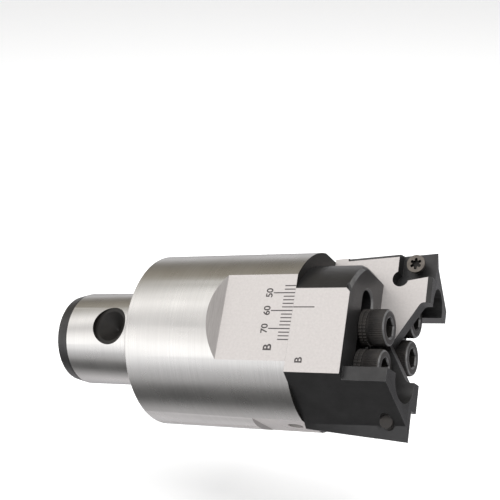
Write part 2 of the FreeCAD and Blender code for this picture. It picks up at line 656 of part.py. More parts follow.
def nodes():
    """Every sub-part by its node name."""
    parts = {
        "head_body": head_body(),
        "drive_pin": drive_pin(),
        "pin_retainer": pin_retainer(),
    }
    twins = {
        "cartridge": cartridge(),
        "adjusting_nut": adjusting_nut(),
        "adjusting_screw": adjusting_screw(),
        "retaining_ring": retaining_ring(),
        "insert_screw": insert_screw(),
        "clamp_screw_inner": clamp_screw(CLAMP_INNER_Y),
        "clamp_screw_outer": clamp_screw(CLAMP_OUTER_Y),
        "lock_washer_inner": lock_washer(CLAMP_INNER_Y),
        "lock_washer_outer": lock_washer(CLAMP_OUTER_Y),
    }
    for name, shape in twins.items():
        parts[name + "_b"] = shape
        parts[name + "_a"] = half_turn(shape)
    return parts


def main():
    """Write one STEP file for each node."""
    os.makedirs("parts", exist_ok=True)
    for name, shape in nodes().items():
        solids = shape.Solids
        print(name, "solids", len(solids), "valid", shape.isValid(), "volume", round(shape.Volume, 1))
        shape.exportStep("parts/" + name + ".step")


main()
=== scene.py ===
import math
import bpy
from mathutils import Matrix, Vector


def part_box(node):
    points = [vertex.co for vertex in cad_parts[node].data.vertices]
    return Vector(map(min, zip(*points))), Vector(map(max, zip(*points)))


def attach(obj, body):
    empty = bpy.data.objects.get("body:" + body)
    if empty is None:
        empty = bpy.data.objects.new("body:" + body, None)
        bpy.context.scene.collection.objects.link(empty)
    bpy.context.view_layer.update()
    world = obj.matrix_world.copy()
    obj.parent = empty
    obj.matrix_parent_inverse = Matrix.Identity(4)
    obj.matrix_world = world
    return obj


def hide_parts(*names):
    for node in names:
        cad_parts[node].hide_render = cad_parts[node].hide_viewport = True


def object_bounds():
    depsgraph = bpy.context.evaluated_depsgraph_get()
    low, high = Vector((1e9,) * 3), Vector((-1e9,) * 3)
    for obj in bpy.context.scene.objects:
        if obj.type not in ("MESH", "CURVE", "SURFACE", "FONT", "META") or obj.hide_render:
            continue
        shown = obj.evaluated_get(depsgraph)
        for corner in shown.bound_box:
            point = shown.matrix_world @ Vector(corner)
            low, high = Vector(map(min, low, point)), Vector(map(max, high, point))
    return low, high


bl_info = {
    "name": "Twin-Cutter Boring Head",
    "version": (1, 0, 0),
    "blender": (4, 5, 0),
    "location": "View3D > Sidebar > Boring Head",
    "description": "Dresses the machined boring head with ground, blackened and knurled steel",
    "category": "Object",
}

import bmesh
import bpy
import numpy as np
from mathutils import Matrix, Vector

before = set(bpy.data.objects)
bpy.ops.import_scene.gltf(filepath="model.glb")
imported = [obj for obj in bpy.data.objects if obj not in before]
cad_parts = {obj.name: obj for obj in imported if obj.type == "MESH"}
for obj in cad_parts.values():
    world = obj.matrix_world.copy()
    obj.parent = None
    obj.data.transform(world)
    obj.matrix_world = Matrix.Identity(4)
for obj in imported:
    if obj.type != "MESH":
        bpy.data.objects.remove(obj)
CAD_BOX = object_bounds()
MM = 0.001
SIDES = ("b", "a")


def corners(node):
    """Lowest and highest corner of a CAD node as two numpy points."""
    low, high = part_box(node)
    return np.array(low), np.array(high)


BODY_LOW, BODY_HIGH = corners("head_body")
CART_LOW, CART_HIGH = corners("cartridge_b")
HEAD_LOW, HEAD_HIGH = corners("clamp_screw_inner_b")
WASHER_LOW, WASHER_HIGH = corners("lock_washer_inner_b")
FLAT_X = float(CART_HIGH[0])
FACE_Z = float(BODY_HIGH[2])
BASE_Z = float(WASHER_LOW[2])


# ---------------------------------------------------------------- settings

class HeadSizes(bpy.types.PropertyGroup):
    """Sizes of the detail that the solids leave out."""

    edge_break: bpy.props.FloatProperty(
        name="Edge break", description="Width of the broken edges on the machined pieces",
        default=0.00012, min=0.0, max=0.001, unit="LENGTH", precision=5)
    knurl_count: bpy.props.IntProperty(
        name="Knurl ridges", description="Ridges round the head of a clamp screw", default=64, min=20, max=120)
    knurl_depth: bpy.props.FloatProperty(
        name="Knurl depth", description="Depth of the grooves between the ridges of a clamp screw's head",
        default=0.00016, min=0.0, max=0.0005, unit="LENGTH", precision=5)
    key_width: bpy.props.FloatProperty(
        name="Key width", description="Distance across the flats of a clamp screw's socket",
        default=0.005, min=0.003, max=0.008, unit="LENGTH", precision=4)
    mark_width: bpy.props.FloatProperty(
        name="Mark width", description="Width of an engraved scale mark",
        default=0.0003, min=0.0001, max=0.0005, unit="LENGTH", precision=5)
    mark_pitch: bpy.props.FloatProperty(
        name="Mark pitch", description="Distance between two scale marks, for two millimetres of diameter",
        default=0.001, min=0.0005, max=0.002, unit="LENGTH", precision=5)
    letter_height: bpy.props.FloatProperty(
        name="Letter height", description="Height of the engraved letters",
        default=0.0021, min=0.001, max=0.005, unit="LENGTH", precision=4)


class HeadColours(bpy.types.PropertyGroup):
    """Base colours of the finishes."""

    ground: bpy.props.FloatVectorProperty(
        name="Ground steel", description="Base colour of the cylindrically ground steel",
        subtype="COLOR", size=3, min=0.0, max=1.0, default=(0.64, 0.635, 0.625))
    lapped: bpy.props.FloatVectorProperty(
        name="Flat ground steel", description="Base colour of the surface-ground flats",
        subtype="COLOR", size=3, min=0.0, max=1.0, default=(0.60, 0.575, 0.565))
    oxide: bpy.props.FloatVectorProperty(
        name="Black oxide", description="Base colour of the blackened cartridges",
        subtype="COLOR", size=3, min=0.0, max=1.0, default=(0.060, 0.060, 0.061))
    screw: bpy.props.FloatVectorProperty(
        name="Blackened screw", description="Base colour of the clamp screws",
        subtype="COLOR", size=3, min=0.0, max=1.0, default=(0.034, 0.033, 0.033))
    bright: bpy.props.FloatVectorProperty(
        name="Turned steel", description="Base colour of the small bright screws and the drive pin",
        subtype="COLOR", size=3, min=0.0, max=1.0, default=(0.17, 0.155, 0.14))
    ink: bpy.props.FloatVectorProperty(
        name="Engraving fill", description="Colour of the filled engraving",
        subtype="COLOR", size=3, min=0.0, max=1.0, default=(0.05, 0.045, 0.045))


# ---------------------------------------------------------------- materials

class Finish:
    """Small builder for a node material with a Principled shader."""

    def __init__(self, name):
        self.material = bpy.data.materials.new(name)
        self.material.use_nodes = True
        self.tree = self.material.node_tree
        self.shader = self.tree.nodes["Principled BSDF"]
        self.place = self.add("ShaderNodeTexCoord")

    def add(self, kind, **values):
        """New node with its settings and input values."""
        node = self.tree.nodes.new(kind)
        for key, value in values.items():
            if hasattr(node, key):
                setattr(node, key, value)
            else:
                node.inputs[key.replace("_", " ")].default_value = value
        return node

    def link(self, source, target):
        """Link between two sockets."""
        self.tree.links.new(source, target)

    def mapped(self, scale):
        """Object coordinates stretched by a scale along each axis."""
        mapping = self.add("ShaderNodeMapping")
        mapping.inputs["Scale"].default_value = scale
        self.link(self.place.outputs["Object"], mapping.inputs["Vector"])
        return mapping.outputs["Vector"]

    def noise(self, scale, detail=4.0, roughness=0.5, vector=None):
        """Noise pattern's factor socket."""
        node = self.add("ShaderNodeTexNoise", Scale=scale, Detail=detail, Roughness=roughness)
        self.link(vector or self.place.outputs["Object"], node.inputs["Vector"])
        return node.outputs["Fac"]

    def ramp(self, factor, low, high, low_value, high_value):
        """Value that runs from low_value to high_value while a factor runs from low to high."""
        node = self.add("ShaderNodeMapRange", clamp=True)
        for name, value in (("From Min", low), ("From Max", high), ("To Min", low_value), ("To Max", high_value)):
            node.inputs[name].default_value = value
        self.link(factor, node.inputs["Value"])
        return node.outputs["Result"]

    def mix(self, factor, first, second):
        """Colour between two colours."""
        node = self.add("ShaderNodeMix", data_type="RGBA")
        for socket, value in ((node.inputs[6], first), (node.inputs[7], second)):
            if isinstance(value, bpy.types.NodeSocket):
                self.link(value, socket)
            else:
                socket.default_value = (*value[:3], 1.0)
        self.link(factor, node.inputs[0])
        return node.outputs[2]

    def bump(self, height, strength, distance):
        """Bump normal from a height socket."""
        node = self.add("ShaderNodeBump", Strength=strength, Distance=distance)
        self.link(height, node.inputs["Height"])
        self.link(node.outputs["Normal"], self.shader.inputs["Normal"])


def shade(colour, amount):
    """Colour made lighter or darker by a factor."""
    return tuple(min(1.0, c * amount) for c in colour)


def round_ground(colours):
    """Cylindrically ground steel: fine rings round the axis, uneven brightness, faint stains."""
    f = Finish("Ground Steel Round")
    rings = f.noise(60.0, 8.0, 0.75, f.mapped((0.4, 0.4, 160.0)))
    cloud = f.noise(90.0, 3.0)
    tint = f.mix(f.ramp(rings, 0.35, 0.65, 0.0, 1.0), shade(colours.ground, 0.90), shade(colours.ground, 1.08))
    f.link(tint, f.shader.inputs["Base Color"])
    f.shader.inputs["Metallic"].default_value = 1.0
    f.link(f.ramp(cloud, 0.3, 0.7, 0.24, 0.32), f.shader.inputs["Roughness"])
    f.bump(rings, 0.12, 0.00003)
    return f.material


def flat_ground(colours):
    """Surface-ground steel: a matt even grey with the faintest cross-hatched grain."""
    f = Finish("Ground Steel Flat")
    along = f.noise(70.0, 6.0, 0.7, f.mapped((30.0, 30.0, 1.5)))
    grain = f.noise(1500.0, 3.0, 0.6)
    tint = f.mix(f.ramp(grain, 0.3, 0.7, 0.0, 1.0), shade(colours.lapped, 0.95), shade(colours.lapped, 1.04))
    f.link(tint, f.shader.inputs["Base Color"])
    f.shader.inputs["Metallic"].default_value = 0.75
    f.link(f.ramp(along, 0.3, 0.7, 0.42, 0.52), f.shader.inputs["Roughness"])
    f.bump(along, 0.10, 0.00002)
    return f.material


def milled(colours):
    """Milled steel of the slopes behind the flats: a rougher, darker grey with fine parallel lines."""
    f = Finish("Milled Steel")
    lines = f.noise(220.0, 5.0, 0.7, f.mapped((14.0, 0.6, 14.0)))
    tint = f.mix(f.ramp(lines, 0.3, 0.7, 0.0, 1.0), shade(colours.lapped, 0.46), shade(colours.lapped, 0.62))
    f.link(tint, f.shader.inputs["Base Color"])
    f.shader.inputs["Metallic"].default_value = 0.85
    f.shader.inputs["Roughness"].default_value = 0.45
    f.bump(lines, 0.3, 0.00004)
    return f.material


def black_oxide(colours):
    """Blackened milled steel: dark, a little uneven, with fine parallel tool marks."""
    f = Finish("Black Oxide")
    marks = f.noise(110.0, 6.0, 0.75, f.mapped((45.0, 45.0, 1.0)))
    cloud = f.noise(160.0, 4.0, 0.6)
    tint = f.mix(f.ramp(cloud, 0.3, 0.7, 0.0, 1.0), shade(colours.oxide, 0.85), shade(colours.oxide, 1.15))
    f.link(tint, f.shader.inputs["Base Color"])
    f.shader.inputs["Metallic"].default_value = 0.85
    f.link(f.ramp(marks, 0.3, 0.7, 0.30, 0.44), f.shader.inputs["Roughness"])
    f.bump(marks, 0.6, 0.00006)
    return f.material


def worn_edge(colours):
    """Chamfered and rounded edges in a lighter grey: partly the black finish rubbed grey, partly a painted highlight
    along the edges.
    """
    f = Finish("Rubbed Edge And Painted Highlight")
    cloud = f.noise(400.0, 4.0, 0.6)
    # Oxide lifted 2.6 times: rubbed grey together with a painted edge highlight.
    grey = shade(colours.oxide, 2.6)
    f.link(f.mix(f.ramp(cloud, 0.35, 0.65, 0.0, 1.0), shade(grey, 0.7), shade(grey, 1.3)), f.shader.inputs["Base Color"])
    f.shader.inputs["Metallic"].default_value = 0.6
    f.shader.inputs["Roughness"].default_value = 0.42
    return f.material


def screw_black(colours):
    """Oiled black finish of the cap screws, with brown in the hollows."""
    f = Finish("Blackened Screw")
    cloud = f.noise(350.0, 5.0, 0.6)
    brown = (colours.screw[0] * 1.5, colours.screw[1] * 1.4, colours.screw[2] * 1.3)
    f.link(f.mix(f.ramp(cloud, 0.3, 0.7, 0.0, 1.0), colours.screw, brown), f.shader.inputs["Base Color"])
    f.shader.inputs["Metallic"].default_value = 0.55
    f.link(f.ramp(cloud, 0.3, 0.7, 0.34, 0.48), f.shader.inputs["Roughness"])
    return f.material


def turned_bright(colours):
    """Small turned steel parts with fine rings and darker specks."""
    f = Finish("Turned Steel")
    cloud = f.noise(500.0, 5.0, 0.6)
    f.link(f.mix(f.ramp(cloud, 0.3, 0.7, 0.0, 1.0), shade(colours.bright, 0.7), shade(colours.bright, 1.2)),
           f.shader.inputs["Base Color"])
    f.shader.inputs["Metallic"].default_value = 1.0
    f.shader.inputs["Roughness"].default_value = 0.33
    return f.material


def dark_bore(colours):
    """Near-black painted shade for the insides of holes, slots and pockets, with a faint random tone."""
    f = Finish("Painted Shade In Holes")
    cloud = f.noise(300.0, 4.0)
    f.link(f.mix(cloud, (0.004, 0.004, 0.004), (0.02, 0.018, 0.016)), f.shader.inputs["Base Color"])
    f.shader.inputs["Metallic"].default_value = 0.3
    f.shader.inputs["Roughness"].default_value = 0.5
    return f.material


def filled_engraving(colours):
    """Dark fill of the engraved marks."""
    f = Finish("Engraving Fill")
    cloud = f.noise(900.0, 4.0)
    f.link(f.mix(cloud, shade(colours.ink, 0.7), shade(colours.ink, 1.6)), f.shader.inputs["Base Color"])
    f.shader.inputs["Roughness"].default_value = 0.6
    return f.material


MAKERS = {
    "round": round_ground, "flat": flat_ground, "milled": milled, "oxide": black_oxide, "edge": worn_edge,
    "screw": screw_black, "bright": turned_bright, "painted_shade": dark_bore, "ink": filled_engraving,
}
_made = {}


def finish(name):
    """Material of that finish, made once."""
    if name not in _made:
        _made[name] = MAKERS[name](bpy.context.scene.head_colours)
    return _made[name]


# ---------------------------------------------------------------- meshes

def wear(piece, body, slot, *nodes):
    """Put a piece on its body and let it stand for its CAD nodes. The slot argument is not used."""
    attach(piece, body)
    if nodes:
        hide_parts(*nodes)
    return piece


def grid_piece(name, points, finishes, close_round=True, strips=None):
    """Mesh from an (n, m, 3) array of points: n rows along the profile, m columns round.

    Columns close on the first one when close_round is set. strips holds one finish index a row gap.
    """
    n, m, _ = points.shape
    rows = np.arange(n - 1)[:, None]
    cols = np.arange(m if close_round else m - 1)[None, :]
    nxt = (cols + 1) % m
    quads = np.stack([rows * m + cols, rows * m + nxt, (rows + 1) * m + nxt, (rows + 1) * m + cols], axis=-1)
    mesh = bpy.data.meshes.new(name)
    mesh.from_pydata(points.reshape(-1, 3), [], quads.reshape(-1, 4).tolist())
    for key in finishes:
        mesh.materials.append(finish(key))
    if strips is not None:
        mesh.polygons.foreach_set("material_index", np.repeat(np.asarray(strips, np.int32), cols.size))
    work = bmesh.new()
    work.from_mesh(mesh)
    bmesh.ops.remove_doubles(work, verts=work.verts, dist=1e-7)
    bmesh.ops.recalc_face_normals(work, faces=work.faces)
    work.to_mesh(mesh)
    work.free()
    mesh.shade_smooth()
    mesh.set_sharp_from_angle(angle=math.radians(32))
    piece = bpy.data.objects.new(name, mesh)
    bpy.context.scene.collection.objects.link(piece)
    return piece


def solid_copy(name, node, edge, finishes, choose, edge_finish=-1):
    """Piece cut from a CAD node's own solid: merged, flat faces joined, edges broken.

    choose(normals, centres) gives one finish index a face, and edge_finish is the index of the broken edges.
    """
    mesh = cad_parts[node].data.copy()
    mesh.name = name
    work = bmesh.new()
    work.from_mesh(mesh)
    bmesh.ops.remove_doubles(work, verts=work.verts, dist=2e-6)
    bmesh.ops.dissolve_limit(work, angle_limit=math.radians(0.4), verts=work.verts, edges=work.edges)
    work.to_mesh(mesh)
    work.free()
    mesh.materials.clear()
    for key in finishes:
        mesh.materials.append(finish(key))
    count = len(mesh.polygons)
    normals, centres = np.zeros(count * 3), np.zeros(count * 3)
    mesh.polygons.foreach_get("normal", normals)
    mesh.polygons.foreach_get("center", centres)
    index = choose(normals.reshape(-1, 3), centres.reshape(-1, 3))
    mesh.polygons.foreach_set("material_index", np.asarray(index, np.int32))
    mesh.shade_smooth()
    mesh.set_sharp_from_angle(angle=math.radians(28))
    piece = bpy.data.objects.new(name, mesh)
    bpy.context.scene.collection.objects.link(piece)
    if edge > 0:
        bevel = piece.modifiers.new("Broken edges", "BEVEL")
        bevel.width = edge
        bevel.segments = 2
        bevel.limit_method = "ANGLE"
        bevel.angle_limit = math.radians(30)
        bevel.harden_normals = True
        bevel.use_clamp_overlap = True
        bevel.material = edge_finish
    return piece


# ---------------------------------------------------------------- pieces

def pick(masks, count):
    """Finish index a face from ordered masks; later masks win, the first finish is the default."""
    index = np.zeros(count, int)
    for number, mask in enumerate(masks, start=1):
        index[mask] = number
    return index


def body_faces(normals, centres):
    """Round ground steel, flat ground steel, painted shade in the bores and slots, the spigot's lead, milled slopes."""
    radius = np.hypot(centres[:, 0], centres[:, 1])
    flat = (np.abs(normals[:, 0]) > 0.999) & (np.abs(np.abs(centres[:, 0]) - FLAT_X) < 1e-4)
    flat |= (np.abs(normals[:, 1]) > 0.999) & (np.abs(centres[:, 1]) > 0.0238)
    flat |= np.abs(normals[:, 2]) > 0.6
    outward = (normals[:, :2] * centres[:, :2]).sum(axis=1) / np.maximum(radius, 1e-6)
    spigot = centres[:, 2] < -1e-5
    # Faces inside bores, slots and pockets get the near-black painted shade.
    painted_shade = (radius < 0.0135) & (np.abs(normals[:, 2]) < 0.5)
    painted_shade |= spigot & (outward < 0.5)
    painted_shade |= (centres[:, 2] > 0.03) & (outward < 0.2) & (radius < 0.0236)
    lead = spigot & (normals[:, 2] < -0.1)
    slope = (np.abs(normals[:, 2]) > 0.6) & (np.abs(normals[:, 2]) < 0.8) & (centres[:, 2] > 0.01) & (radius > 0.02)
    return pick([flat, painted_shade, lead, slope], len(normals))


class HEAD_OT_body(bpy.types.Operator):
    """Body and spigot of the boring head"""
    bl_idname = "boring_head.body"
    bl_label = "Body"

    def execute(self, context):
        sizes = context.scene.head_sizes
        piece = solid_copy("body_ground", "head_body", sizes.edge_break, ("round", "flat", "painted_shade", "oxide", "milled"), body_faces)
        wear(piece, "head", "ground_steel", "head_body")
        return {"FINISHED"}


def cartridge_faces(normals, centres):
    """Black oxide, then the ground outer and inner faces, then the rims in the lighter edge grey, rubbed wear and
    painted highlight.
    """
    outer = (np.abs(normals[:, 0]) > 0.999) & (np.abs(np.abs(centres[:, 0]) - FLAT_X) < 1e-4)
    inner = (np.abs(normals[:, 0]) > 0.999) & (np.abs(centres[:, 0]) < 2e-4)
    return pick([outer | inner, is_broken_edge(normals, centres)], len(normals))


def is_broken_edge(normals, centres):
    """Narrow rims of the clamp slot and the turned end, where the black has rubbed thin and a painted highlight
    lightens them.
    """
    tilt = np.abs(normals[:, 2])
    rim = (tilt > 0.3) & (tilt < 0.9) & (np.abs(centres[:, 2] - BASE_Z) < 0.0006)
    return rim & (np.abs(centres[:, 1]) < 0.016)


class HEAD_OT_cartridges(bpy.types.Operator):
    """Both cartridges with their ground and blackened faces"""
    bl_idname = "boring_head.cartridges"
    bl_label = "Cartridges"

    def execute(self, context):
        sizes = context.scene.head_sizes
        for side in SIDES:
            node = "cartridge_" + side
            # Broken edges take finish 2, the lighter edge grey that is partly a painted highlight.
            piece = solid_copy(node + "_milled", node, sizes.edge_break, ("oxide", "flat", "edge"), cartridge_faces,
                               edge_finish=2)
            wear(piece, node, "black_oxide", node)
        return {"FINISHED"}


def knurled_screw(name, low, high, sizes):
    """Cap screw as one closed surface from the socket's floor over the head and down the shank.

    Radius of the socket is a / cos(t - nearest sixth turn), a being half the key width.
    Radius of the knurl is R - depth * |sin(count t / 2)|.
    """
    centre = (low + high) / 2
    top, radius = high[2], (high[0] - low[0]) / 2
    seat = BASE_Z + (WASHER_HIGH[2] - WASHER_LOW[2])
    shank = 0.003
    count = sizes.knurl_count * 6
    angle = np.linspace(0, 2 * np.pi, count, endpoint=False)
    sixth = np.pi / 3
    hexagon = sizes.key_width / 2 / np.cos((angle + sixth / 2) % sixth - sixth / 2)
    ridge = radius - sizes.knurl_depth * np.abs(np.sin(angle * sizes.knurl_count / 2)) ** 0.7
    ones = np.ones(count)
    # Finish 0 is the painted shade of the socket. Finish 2 is the lighter edge grey: rubbed black and a painted
    # highlight.
    rows = [
        (0 * ones, top - 0.0034, 0), (hexagon * 0.6, top - 0.0032, 0), (hexagon, top - 0.0030, 0),
        (hexagon, top - 0.0004, 0), (np.maximum(hexagon, sizes.key_width / 2 * 1.17), top - 0.00003, 2),
        (ones * sizes.key_width / 2 * 1.22, top, 2), (ones * (radius - 0.00062), top, 1),
        (ones * (radius - 0.00040), top - 0.00010, 2), (ones * (radius - 0.00020), top - 0.00032, 2),
        (ridge * 0.3 + (radius - 0.00012) * 0.7, top - 0.00050, 1), (ridge, top - 0.00075, 1),
        (ridge, seat + 0.0009, 1), (ones * (radius - 0.00022), seat + 0.00072, 1),
        (ones * (radius - 0.00022), seat + 0.00030, 1), (ones * (radius - 0.00035), seat, 1),
        (ones * shank, seat, 1), (ones * shank, low[2] + 0.0006, 1), (ones * (shank - 0.0006), low[2], 1),
        (0 * ones, low[2], 1),
    ]
    radii = np.stack([r for r, _, _ in rows])
    heights = np.array([z for _, z, _ in rows])[:, None]
    points = np.stack([centre[0] + radii * np.cos(angle), centre[1] + radii * np.sin(angle),
                       heights + 0 * radii], axis=-1)
    strips = [index for _, _, index in rows[1:]]
    return grid_piece(name, points, ("painted_shade", "screw", "edge"), strips=strips)


class HEAD_OT_clamp_screws(bpy.types.Operator):
    """Knurled cap screws that clamp the cartridges"""
    bl_idname = "boring_head.clamp_screws"
    bl_label = "Clamp screws"

    def execute(self, context):
        for side in SIDES:
            for row in ("inner", "outer"):
                node = "clamp_screw_%s_%s" % (row, side)
                low, high = corners(node)
                piece = knurled_screw(node + "_knurled", low, high, context.scene.head_sizes)
                wear(piece, "head", "screw_black", node)
        return {"FINISHED"}


def ribbed_washer(name, low, high):
    """Pair of safety washers: the outer faces carry ribs, z = mid +- (t/2 - depth * saw(teeth * angle)).

    The rim is notched by |sin(teeth * angle / 2)|, and a groove between the two runs round the middle.
    """
    centre, half = (low + high) / 2, (high[2] - low[2]) / 2
    outer, inner, teeth, depth = (high[0] - low[0]) / 2, 0.0032, 36, 0.00014
    count = teeth * 8
    angle = np.linspace(0, 2 * np.pi, count, endpoint=False)
    saw = depth * ((angle * teeth / (2 * np.pi)) % 1.0)
    rim = outer - 0.00018 * np.abs(np.sin(angle * teeth / 2)) ** 0.7
    ones = np.ones(count)
    rows = [(inner * ones, half - saw), (rim - 0.00012, half - saw), (rim, half - saw - 0.00012), (rim, 0.00022 * ones),
            (rim - 0.00012, 0.00010 * ones), ((outer - 0.00040) * ones, 0.00004 * ones)]
    rows += [(r, -h) for r, h in reversed(rows)]
    rows.append(rows[0])
    radii = np.stack([r for r, _ in rows])
    heights = np.stack([h for _, h in rows])
    points = np.stack([centre[0] + radii * np.cos(angle), centre[1] + radii * np.sin(angle),
                       centre[2] + heights], axis=-1)
    return grid_piece(name, points, ("screw",))


class HEAD_OT_lock_washers(bpy.types.Operator):
    """Ribbed safety washers under the clamp screws"""
    bl_idname = "boring_head.lock_washers"
    bl_label = "Lock washers"

    def execute(self, context):
        for side in SIDES:
            for row in ("inner", "outer"):
                node = "lock_washer_%s_%s" % (row, side)
                wear(ribbed_washer(node + "_ribbed", *corners(node)), "head", "screw_black", node)
        return {"FINISHED"}


def insert_screw_faces(normals, centres):
    """Turned steel head, star recess in near-black painted shade, then the dull blackened tail."""
    low, high = corners("insert_screw_b")
    axis_y, axis_z = (low[1] + high[1]) / 2, (low[2] + high[2]) / 2
    radius = np.hypot(np.abs(centres[:, 1]) - axis_y, centres[:, 2] - axis_z)
    depth = np.abs(centres[:, 0]) - low[0]
    recess = (radius < 0.0017) & (depth > 0.0001) & (depth < 0.0014)
    return pick([recess, np.abs(centres[:, 0]) > 0.0045], len(normals))


class HEAD_OT_small_parts(bpy.types.Operator):
    """Insert screws, adjusting screws, rings, nuts, drive pin and its retainer"""
    bl_idname = "boring_head.small_parts"
    bl_label = "Small parts"

    def execute(self, context):
        # The drive pin and the adjusting screws, seen deep in their holes, get the same painted shade.
        looks = {"drive_pin": "painted_shade", "pin_retainer": "screw"}
        for side in SIDES:
            node = "insert_screw_" + side
            screw = solid_copy(node + "_star", node, 0.00006, ("bright", "painted_shade", "screw"), insert_screw_faces)
            wear(screw, "cartridge_" + side, "screw_black", node)
            looks["adjusting_screw_" + side] = "painted_shade"
            looks["adjusting_nut_" + side] = "bright"
            looks["retaining_ring_" + side] = "flat"
        for node, key in looks.items():
            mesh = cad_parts[node].data
            mesh.materials.clear()
            mesh.materials.append(finish(key))
        return {"FINISHED"}


# ---------------------------------------------------------------- engraving

def engraved_bars(name, body, x, bars, side):
    """Thin filled bars just proud of a flat: each is a grid of two by two points in the YZ plane."""
    sign = 1.0 if side == "b" else -1.0
    bars = np.asarray(bars, float)
    y0, y1, z0, z1 = bars.T
    xs = np.full(len(bars), x + 0.000006)
    ring = np.stack([np.stack([xs, y0, z0], 1), np.stack([xs, y1, z0], 1),
                     np.stack([xs, y1, z1], 1), np.stack([xs, y0, z1], 1)], axis=1)
    ring[..., :2] *= sign
    quads = np.arange(len(bars) * 4).reshape(-1, 4)
    mesh = bpy.data.meshes.new(name)
    mesh.from_pydata(ring.reshape(-1, 3), [], quads.tolist())
    mesh.materials.append(finish("ink"))
    piece = bpy.data.objects.new(name, mesh)
    bpy.context.scene.collection.objects.link(piece)
    return wear(piece, body, "screw_black")


def engraved_text(name, body, text, y, z, height, side):
    """Filled letters on a flat, read along -Y with their tops towards the spigot."""
    curve = bpy.data.curves.new(name, "FONT")
    curve.body = text
    curve.size = height / 0.72
    curve.offset = height * 0.035
    curve.align_x = "CENTER"
    curve.align_y = "CENTER"
    lettering = bpy.data.objects.new(name + "_outline", curve)
    bpy.context.scene.collection.objects.link(lettering)
    bpy.context.view_layer.update()
    mesh = bpy.data.meshes.new_from_object(lettering)
    bpy.data.objects.remove(lettering)
    turn = Matrix(((0, 0, 1), (-1, 0, 0), (0, -1, 0))).to_4x4()
    mesh.transform(Matrix.Translation(Vector((FLAT_X + 0.000006, y, z))) @ turn)
    if side == "a":
        mesh.transform(Matrix.Rotation(math.pi, 4, "Z"))
    mesh.name = name
    mesh.materials.clear()
    mesh.materials.append(finish("ink"))
    piece = bpy.data.objects.new(name, mesh)
    bpy.context.scene.collection.objects.link(piece)
    return wear(piece, body, "screw_black")


class HEAD_OT_scales(bpy.types.Operator):
    """Engraved diameter scales, index lines and side letters"""
    bl_idname = "boring_head.scales"
    bl_label = "Scales"

    def execute(self, context):
        sizes = context.scene.head_sizes
        half = sizes.mark_width / 2
        first = -0.00877
        for side in SIDES:
            marks = []
            for k in range(16):
                y = first + k * sizes.mark_pitch
                length = 0.0064 if (46 + 2 * k) % 10 == 0 else 0.00325
                marks.append((y - half, y + half, FACE_Z - length, FACE_Z - 0.00005))
            engraved_bars("scale_marks_" + side, "head", FLAT_X, marks, side)
            index_y = first + 6 * sizes.mark_pitch
            line = [(index_y - half, index_y + half, FACE_Z + 0.00005, FACE_Z + 0.0062)]
            engraved_bars("index_line_" + side, "cartridge_" + side, FLAT_X, line, side)
            for value in (50, 60, 70):
                y = first + (value - 46) / 2 * sizes.mark_pitch
                engraved_text("scale_%d_%s" % (value, side), "head", str(value), y, FACE_Z - 0.0075,
                              sizes.letter_height * 0.92, side)
            letter = side.upper()
            engraved_text("body_letter_" + side, "head", letter, 0.00845, FACE_Z - 0.0057,
                          sizes.letter_height * 1.15, side)
            engraved_text("cartridge_letter_" + side, "cartridge_" + side, letter, 0.0117, FACE_Z + 0.00385,
                          sizes.letter_height, side)
        return {"FINISHED"}


# ---------------------------------------------------------------- stage

VIEW_PLACE = Vector((0.256577, 0.079815, 0.172939))
VIEW_RIGHT = Vector((-0.45099800, -0.1581023, 0.8784102))
VIEW_DOWN = Vector((-0.37602995, 0.92623267, -0.02635356))
VIEW_FORWARD = Vector((-0.80944567, -0.34219394, -0.47718028))
STAGE_TILT = math.radians(20)
WORLD_LIGHT = 0.45


def stage_up():
    """Direction that is up on the stage: the view's own up leant back by the tilt."""
    return (-VIEW_DOWN * math.cos(STAGE_TILT) - VIEW_FORWARD * math.sin(STAGE_TILT)).normalized()


def stage_plane(name, place, normal, width, height, material):
    """Flat sheet facing along a normal."""
    mesh = bpy.data.meshes.new(name)
    x, y = width / 2, height / 2
    mesh.from_pydata([(-x, -y, 0), (x, -y, 0), (x, y, 0), (-x, y, 0)], [], [(0, 1, 2, 3)])
    turn = Vector(normal).to_track_quat("Z", "Y").to_matrix().to_4x4()
    mesh.transform(Matrix.Translation(Vector(place)) @ turn)
    mesh.materials.append(material)
    piece = bpy.data.objects.new(name, mesh)
    bpy.context.scene.collection.objects.link(piece)
    return piece


def stage_lamp(name, target, offset, width, height, power, colour=(1.0, 1.0, 1.0)):
    """Rectangular soft lamp that points at the target."""
    data = bpy.data.lights.new(name, "AREA")
    data.shape = "RECTANGLE"
    data.size, data.size_y = width, height
    data.energy = power
    data.color = colour
    lamp = bpy.data.objects.new(name, data)
    bpy.context.scene.collection.objects.link(lamp)
    place = Vector(target) + Vector(offset)
    lamp.matrix_world = Matrix.Translation(place) @ Vector(offset).to_track_quat("Z", "Y").to_matrix().to_4x4()
    return lamp


def floor_material():
    """White floor that is clear from its underside and keeps a soft shadow."""
    f = Finish("Stage Floor")
    f.shader.inputs["Base Color"].default_value = (0.93, 0.93, 0.93, 1.0)
    f.shader.inputs["Roughness"].default_value = 0.9
    nodes, links = f.tree.nodes, f.tree.links
    output = nodes["Material Output"]
    clear = f.add("ShaderNodeBsdfTransparent")
    side = f.add("ShaderNodeNewGeometry")
    path = f.add("ShaderNodeLightPath")
    glow = f.add("ShaderNodeEmission", Strength=1.0)
    add = f.add("ShaderNodeAddShader")
    seen = f.add("ShaderNodeMixShader")
    mix = f.add("ShaderNodeMixShader")
    links.new(path.outputs["Is Camera Ray"], seen.inputs[0])
    glow.inputs["Strength"].default_value = 0.35
    links.new(f.shader.outputs[0], add.inputs[0])
    links.new(glow.outputs[0], add.inputs[1])
    links.new(f.shader.outputs[0], seen.inputs[1])
    links.new(add.outputs[0], seen.inputs[2])
    links.new(side.outputs["Backfacing"], mix.inputs[0])
    links.new(seen.outputs[0], mix.inputs[1])
    links.new(clear.outputs[0], mix.inputs[2])
    links.new(mix.outputs[0], output.inputs["Surface"])
    return f.material


